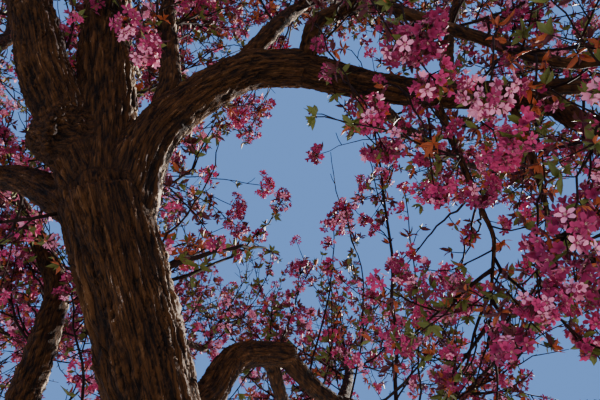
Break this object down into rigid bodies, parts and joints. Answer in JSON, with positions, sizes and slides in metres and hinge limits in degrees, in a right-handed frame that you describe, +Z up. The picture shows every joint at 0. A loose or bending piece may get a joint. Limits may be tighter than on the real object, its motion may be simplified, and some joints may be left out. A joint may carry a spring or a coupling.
{
  "type": "pink crabapple blossom tree",
  "caption": "Mature low-forking crabapple in pink blossom: leaning trunk, three main limbs, an arching bough to the right and a wide open crown.",
  "frame": {"origin": "middle of the flat cut under the trunk, at ground level", "axes": "+Z up, +X to the right and +Y away as the tree is first looked at from the front"},
  "size_m": [6.7528, 6.7492, 6.0687],
  "materials": {
    "bark": "rough scaly bark in upright plates, dark warm brown with pale weathered ridges",
    "blossom": "deep pink five-petalled blossom in clusters with bronze and olive young leaves on fine dark twigs"
  },
  "bodies": {
    "root": {"trunk": "bark", "arched_arm": "bark", "arched_arm_outer": "bark", "arched_arm_outer_foliage": "blossom", "front_bough": "bark", "front_bough_foliage": "blossom", "front_left_bough": "bark", "front_left_bough_foliage": "blossom", "front_low_bough": "bark", "front_low_bough_foliage": "blossom", "front_right_bough": "bark", "front_right_bough_foliage": "blossom", "hanging_arm": "bark", "hanging_arm_foliage": "blossom", "leader": "bark", "leader_foliage": "blossom", "left_front_bough": "bark", "left_front_bough_foliage": "blossom", "left_limb": "bark", "left_limb_foliage": "blossom", "left_low_bough": "bark", "left_low_bough_foliage": "blossom", "left_rear_bough": "bark", "left_rear_bough_foliage": "blossom", "lopped_knob": "bark", "low_bough": "bark", "low_bough_outer": "bark", "low_bough_outer_foliage": "blossom", "low_spur": "bark", "low_spur_foliage": "blossom", "outer_hanging_arm": "bark", "outer_hanging_arm_foliage": "blossom", "rear_bough": "bark", "rear_bough_foliage": "blossom", "rear_left_bough": "bark", "rear_left_bough_foliage": "blossom", "rear_left_foot": "bark", "rear_left_low_arm": "bark", "rear_left_low_arm_foliage": "blossom", "rear_low_bough": "bark", "rear_low_bough_foliage": "blossom", "rear_right_bough": "bark", "rear_right_bough_foliage": "blossom", "rear_upper_bough": "bark", "rear_upper_bough_foliage": "blossom", "right_bough": "bark", "right_bough_outer": "bark", "right_high_arm": "bark", "right_high_arm_foliage": "blossom", "right_low_arm": "bark", "right_low_arm_foliage": "blossom", "right_rear_bough": "bark", "right_rear_bough_foliage": "blossom", "riser": "bark", "riser_foliage": "blossom", "slim_riser": "bark", "slim_riser_foliage": "blossom", "upright_arm": "bark", "upright_arm_foliage": "blossom"}
  },
  "joints": []
}
